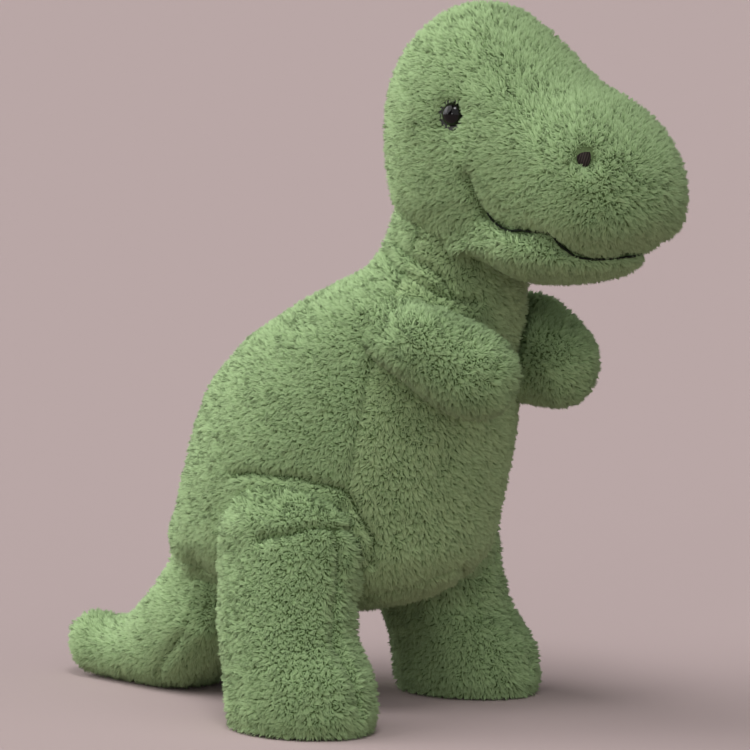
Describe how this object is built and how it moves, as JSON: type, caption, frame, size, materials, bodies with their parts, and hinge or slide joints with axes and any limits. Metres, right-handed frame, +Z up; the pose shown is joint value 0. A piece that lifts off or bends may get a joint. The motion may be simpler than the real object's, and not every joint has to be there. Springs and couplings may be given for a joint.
{
  "type": "stuffed dinosaur",
  "caption": "Upright plush dinosaur with a big rounded head, overhanging muzzle, short arms, two column legs on flat soles and a tail that rests on the floor.",
  "frame": {"origin": "on the floor under the middle of the toy's length, between the feet", "axes": "+X the way the toy faces, +Y its left side, +Z up"},
  "size_m": [0.301, 0.1664, 0.29],
  "materials": {
    "plush": "short clumpy plush pile",
    "belly_plush": "short clumpy plush pile",
    "sole_plush": "short plush pile",
    "fibre_stuffing": "loose polyester fibre",
    "eye_plastic": "polished black",
    "washer_plastic": "moulded",
    "nostril_thread": "satin-stitched thread",
    "bag_cloth": "plain woven cotton"
  },
  "bodies": {
    "torso": {"body_panel_left": "plush", "body_panel_right": "plush", "belly_panel": "belly_plush", "body_stuffing": "fibre_stuffing"},
    "tail": {"tail_panel_left": "plush", "tail_panel_right": "plush", "tail_stuffing": "fibre_stuffing"},
    "head": {"head_panel_left": "plush", "head_panel_right": "plush", "head_stuffing": "fibre_stuffing", "jaw_panel": "plush", "jaw_stuffing": "fibre_stuffing", "eye_left": "eye_plastic", "eye_right": "eye_plastic", "eye_washer_left": "washer_plastic", "eye_washer_right": "washer_plastic", "nostril_left": "nostril_thread", "nostril_right": "nostril_thread"},
    "arm_left": {"arm_outer_panel_left": "plush", "arm_inner_panel_left": "plush", "arm_stuffing_left": "fibre_stuffing"},
    "leg_left": {"leg_outer_panel_left": "plush", "leg_inner_panel_left": "plush", "sole_left": "sole_plush", "leg_stuffing_left": "fibre_stuffing", "pellet_bag_left": "bag_cloth"},
    "arm_right": {"arm_outer_panel_right": "plush", "arm_inner_panel_right": "plush", "arm_stuffing_right": "fibre_stuffing"},
    "leg_right": {"leg_outer_panel_right": "plush", "leg_inner_panel_right": "plush", "sole_right": "sole_plush", "leg_stuffing_right": "fibre_stuffing", "pellet_bag_right": "bag_cloth"}
  },
  "joints": [
    {"name": "head_nod", "type": "hinge", "parent": "torso", "child": "head", "pos_m": [0.0515, 0, 0.197], "axis": [0, 1, 0], "range_deg": [-10, 6], "stiffness_Nm_per_rad": 1.5},
    {"name": "arm_flap_left", "type": "hinge", "parent": "torso", "child": "arm_left", "pos_m": [0.04348, 0.04136, 0.163], "axis": [0.4848, 0, 0.8746], "range_deg": [-5, 28], "stiffness_Nm_per_rad": 0.15},
    {"name": "arm_flap_right", "type": "hinge", "parent": "torso", "child": "arm_right", "pos_m": [0.04348, -0.04136, 0.163], "axis": [-0.4848, 0, -0.8746], "range_deg": [-5, 28], "stiffness_Nm_per_rad": 0.15},
    {"name": "leg_swing_left", "type": "hinge", "parent": "torso", "child": "leg_left", "pos_m": [0.0015, 0.044, 0.1], "axis": [0, 1, 0], "range_deg": [-12, 8], "stiffness_Nm_per_rad": 2.5},
    {"name": "leg_swing_right", "type": "hinge", "parent": "torso", "child": "leg_right", "pos_m": [0.0015, -0.044, 0.1], "axis": [0, 1, 0], "range_deg": [-12, 8], "stiffness_Nm_per_rad": 2.5},
    {"name": "tail_wag", "type": "hinge", "parent": "torso", "child": "tail", "pos_m": [-0.04721, 0, 0.03], "axis": [0, 0, 1], "range_deg": [-10, 10], "stiffness_Nm_per_rad": 0.8}
  ]
}
